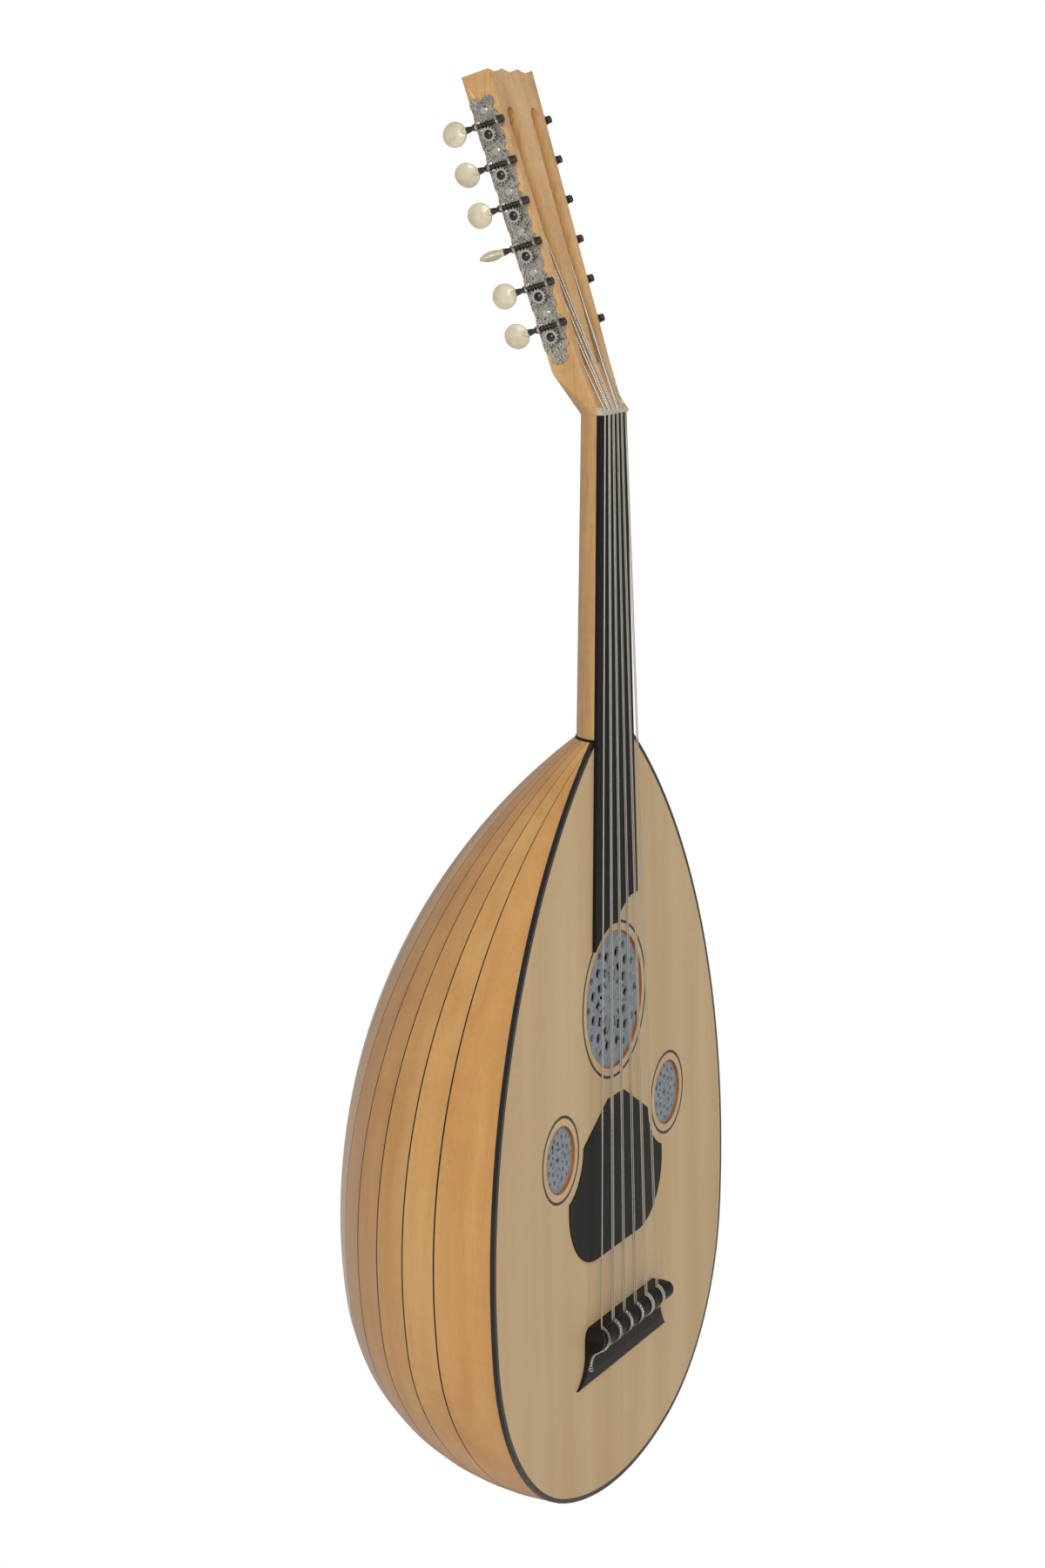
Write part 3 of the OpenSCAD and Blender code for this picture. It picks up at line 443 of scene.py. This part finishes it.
def bowl_strip(bm, start, end, steps, flat, tone):
    """One rib or seam line: the profile spun, a little flattened across, then given its wall."""
    part = bmesh.new()
    verts = [part.verts.new((r * math.cos(start), r * math.sin(start) - BOWL_OFFSET, z))
             for r, z in PROFILE]
    edges = [part.edges.new(pair) for pair in zip(verts, verts[1:])]
    bmesh.ops.spin(part, geom=verts + edges, cent=(0, -BOWL_OFFSET, 0), axis=(0, 0, 1),
                   dvec=(0, 0, 0), angle=end - start, steps=steps, use_merge=False,
                   use_duplicate=False)
    middle, half = (start + end) / 2, (end - start) / 2
    for v in part.verts:
        a = math.atan2(v.co.y + BOWL_OFFSET, v.co.x)
        k = (math.cos(half) / math.cos(a - middle)) ** flat
        v.co.x, v.co.y = v.co.x * k, (v.co.y + BOWL_OFFSET) * k - BOWL_OFFSET
    bmesh.ops.bisect_plane(part, geom=part.verts[:] + part.edges[:] + part.faces[:], dist=1e-7,
                           plane_co=(0, BINDING, 0), plane_no=(0, 1, 0), clear_inner=True)
    bmesh.ops.recalc_face_normals(part, faces=part.faces[:])
    face = max(part.faces, key=lambda f: f.calc_area())
    centre = face.calc_center_median()
    outwards = Vector((centre.x, centre.y + BOWL_OFFSET, 0)).dot(face.normal) > 0
    if not outwards:
        bmesh.ops.reverse_faces(part, faces=part.faces[:])
    bmesh.ops.solidify(part, geom=part.faces[:], thickness=RIB_THICK * WALL_SHARE)
    bmesh.ops.recalc_face_normals(part, faces=part.faces[:])
    layer = part.faces.layers.float.new("rib_tone")
    for f in part.faces:
        f[layer] = tone
    mesh = bpy.data.meshes.new("strip")
    part.to_mesh(mesh)
    part.free()
    bm.from_mesh(mesh)
    bpy.data.meshes.remove(mesh)


ribs, seams = bmesh.new(), bmesh.new()
rib_angles = [(0.0, SIDE_RIB)]
rib_angles += [(SIDE_RIB + k * RIB_ANGLE, SIDE_RIB + (k + 1) * RIB_ANGLE)
               for k in range(RIB_COUNT)]
rib_angles += [(math.pi - SIDE_RIB, math.pi)]
for k, (start, end) in enumerate(rib_angles):
    first = start + (SEAM / 2 if k else 0)
    last = end - (SEAM / 2 if k < RIB_COUNT + 1 else 0)
    bowl_strip(ribs, first, last, RIB_STEPS, RIB_FLATNESS, random.uniform(0.25, 1.0))
    if k:
        bowl_strip(seams, start - SEAM / 2, start + SEAM / 2, 1, 0.0, 0.0)
ribs_piece = shown("maple_ribs", ribs, MAPLE_RIBS, 40)
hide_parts("bowl_ribs")
seams_piece = shown("rib_seam_lines", seams, DYED_LINE, 40)
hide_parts("rib_purfling")


# String ties, in metres: loops round the bridge's rounded tie block, twisted of two strands
SCALE_LENGTH = 0.594
BLOCK_CENTRE = Vector((0, -6 * MM, -SCALE_LENGTH - 8 * MM))
LOOP_RADIUS, LOOP_POINTS = 8.05 * MM, 30
LOOP_START, LOOP_SWEEP = math.radians(18), math.radians(150)
LOOP_LEAD, LOOP_DRIFT = 2.0 * MM, 3.4 * MM
BEHIND_X, BEHIND_Y, BEHIND_Z = -3 * MM, -4.6 * MM, -10.4 * MM
COURSE_PITCH = 18.8 * MM
COURSES = [(k - 2.5) * COURSE_PITCH for k in range(6)]
STEP = 0.5 * MM
TWIST_PITCH, OPENS_AT = 3.6 * MM, 0.85


def even_path(points):
    """The same route with a point every half millimetre."""
    out = [points[0]]
    for a, b in zip(points, points[1:]):
        n = max(1, round((b - a).length / STEP))
        out += [a.lerp(b, k / n) for k in range(1, n + 1)]
    return out


def twisted(curve, path, strand, spread, opens):
    """Two strands twisted round a path, which part from each other over its last stretch."""
    last = len(path) - 1
    for side in (0, math.pi):
        spline = curve.splines.new("POLY")
        spline.points.add(last)
        normal = Vector((1, 0, 0))
        for k, p in enumerate(path):
            along = (path[min(k + 1, last)] - path[max(k - 1, 0)]).normalized()
            normal = (normal - along * normal.dot(along)).normalized()
            a = side + k * STEP / TWIST_PITCH * 2 * math.pi
            late = max(0.0, k / last - OPENS_AT) / (1 - OPENS_AT)
            out = normal * math.cos(a) + along.cross(normal) * math.sin(a)
            spline.points[k].co = (*(p + out * spread * (1 + opens * late)), 1)
            spline.points[k].radius = strand


def string_ties(name, courses, strand, spread, chained, material):
    """Loops of string round the tie block, whose ends run on behind it between courses."""
    curve = bpy.data.curves.new(name, "CURVE")
    curve.dimensions, curve.use_fill_caps = "3D", True
    curve.bevel_depth, curve.bevel_resolution = 1.0, 2
    for k in courses:
        x = COURSES[k]
        route = []
        for n in range(LOOP_POINTS + 1):
            t = n / LOOP_POINTS
            a = LOOP_START + LOOP_SWEEP * t
            route.append(BLOCK_CENTRE + Vector((x + LOOP_LEAD - LOOP_DRIFT * t,
                                                -LOOP_RADIUS * math.sin(a),
                                                LOOP_RADIUS * math.cos(a))))
        behind = Vector((x + BEHIND_X, BEHIND_Y, BLOCK_CENTRE.z + BEHIND_Z))
        route.append(behind)
        if chained and k:
            route += [behind + Vector((-COURSE_PITCH * 0.5, 0.2 * MM, -1.2 * MM)),
                      behind + Vector((-COURSE_PITCH + 2 * MM, 0, 0.4 * MM))]
        elif chained:
            route += [behind + Vector((-4 * MM, 0.1 * MM, -4 * MM)),
                      behind + Vector((-6 * MM, 0, -9 * MM))]
        else:
            route += [behind + Vector((-5 * MM, 0.2 * MM, -1 * MM))]
        twisted(curve, even_path(route), strand, spread, 3.0 if chained and not k else 0.5)
    piece = bpy.data.objects.new(name, curve)
    curve.materials.append(material)
    SCENE.collection.objects.link(piece)
    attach(piece, "oud")


string_ties("wound_string_ties", range(4), 0.42 * MM, 0.52 * MM, True, SILVER_TWIST)
string_ties("nylon_string_ties", (4, 5), 0.36 * MM, 0.5 * MM, False, NYLON)


def softened(node, name, material, width, longest_only):
    """A copy of a machined piece with its long edges rounded over, as sanding leaves them."""
    bm = bmesh.new()
    bm.from_mesh(NODES[node].data)
    bmesh.ops.remove_doubles(bm, verts=bm.verts[:], dist=1e-6)
    bmesh.ops.dissolve_limit(bm, angle_limit=math.radians(0.6), verts=bm.verts[:],
                             edges=bm.edges[:])
    edges = [e for e in bm.edges if len(e.link_faces) == 2 and e.calc_length() > longest_only
             and e.calc_face_angle() > math.radians(35)]
    bmesh.ops.bevel(bm, geom=edges, offset=width, offset_type="OFFSET", segments=3, profile=0.5,
                    affect="EDGES", clamp_overlap=True, material=-1)
    piece = shown(name, bm, material, 32)
    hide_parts(node)


softened("headstock", "headstock_rounded", MAPLE_NECK, 0.9 * MM, 9 * MM)
softened("nut", "nut_rounded", BONE, 0.35 * MM, 3 * MM)
softened("bridge", "bridge_rounded", EBONY, 0.6 * MM, 5 * MM)


# ---------------------------------------------------------------- floor, light, camera

FLOOR_DROP, FLOOR_RADIUS = 4 * MM, 30


def softbox(name, place, look_at, width, height, power, colour):
    light = bpy.data.lights.new(name, "AREA")
    light.shape, light.size, light.size_y = "RECTANGLE", width, height
    light.energy, light.color = power, linear(colour)[:3]
    lamp = bpy.data.objects.new(name, light)
    lamp.location = place
    lamp.rotation_mode = "QUATERNION"
    lamp.rotation_quaternion = (Vector(look_at) - Vector(place)).to_track_quat("-Z", "Y")
    SCENE.collection.objects.link(lamp)


def studio():
    """Seamless white paper under the instrument in a white room."""
    bm = bmesh.new()
    bmesh.ops.create_circle(bm, cap_ends=True, segments=96, radius=FLOOR_RADIUS)
    bmesh.ops.translate(bm, verts=bm.verts[:], vec=(0, 0, TAIL_Z - FLOOR_DROP))
    mesh = bpy.data.meshes.new("studio_floor")
    bm.to_mesh(mesh)
    bm.free()
    floor = bpy.data.objects.new("studio_floor", mesh)
    SCENE.collection.objects.link(floor)
    m = bpy.data.materials.new("white_paper")
    m.use_nodes = True
    tree = m.node_tree
    tree.nodes.clear()
    seen = add(tree, "ShaderNodeLightPath").outputs["Is Camera Ray"]
    lit = add(tree, "ShaderNodeBsdfDiffuse", None, {"Color": linear("#F0EEEA")})
    bright = add(tree, "ShaderNodeEmission", None, {"Color": (1, 1, 1, 1), "Strength": 1.0})
    both = add(tree, "ShaderNodeMixShader", None, {
        0: seen, 1: lit.outputs[0], 2: bright.outputs[0]})
    add(tree, "ShaderNodeOutputMaterial", None, {"Surface": both.outputs[0]})
    mesh.materials.append(m)
    world = bpy.data.worlds.new("white_room")
    SCENE.world = world
    world.use_nodes = True
    tree = world.node_tree
    tree.nodes.clear()
    seen = add(tree, "ShaderNodeLightPath").outputs["Is Camera Ray"]
    white = add(tree, "ShaderNodeBackground", None, {"Color": (1, 1, 1, 1), "Strength": 1.02})
    room = add(tree, "ShaderNodeBackground", None, {
        "Color": linear("#FBFCFF"), "Strength": 0.34})
    both = add(tree, "ShaderNodeMixShader", None, {
        0: seen, 1: room.outputs[0], 2: white.outputs[0]})
    add(tree, "ShaderNodeOutputWorld", None, {"Surface": both.outputs[0]})


studio()
softbox("key_softbox", (-3.2, -1.1, 1.5), (0, 0, -0.3), 2.4, 2.4, 78.0, "#FFFDF8")
softbox("front_softbox", (0.2, -2.9, 0.9), (0, 0, -0.35), 1.8, 2.0, 23.0, "#FFFFFF")

# Camera: a long lens at head height, on the bass side and a little in front
SENSOR_MM, LENS_MM = 36.0, 78.361
SHIFT_X, SHIFT_Y = -0.111588, -0.015564
EYE = Vector((-2.006515, -0.870563, 0.152028))
VIEW = Vector((0.91366518, 0.36930058, -0.16980287))
UP = Vector((0.15913343, 0.05941121, 0.98546784))
camera = bpy.data.objects.new("camera", bpy.data.cameras.new("camera"))
SCENE.collection.objects.link(camera)
back = -VIEW.normalized()
right = UP.cross(back).normalized()
up = back.cross(right)
turned = Matrix((right, up, back)).transposed().to_4x4()
camera.matrix_world = Matrix.Translation(EYE) @ turned
camera.data.sensor_width, camera.data.lens = SENSOR_MM, LENS_MM
camera.data.shift_x, camera.data.shift_y = SHIFT_X, SHIFT_Y
camera.data.clip_start, camera.data.clip_end = 0.05, 60
SCENE.camera = camera
SCENE.view_settings.view_transform = "Standard"

bpy.context.view_layer.update()
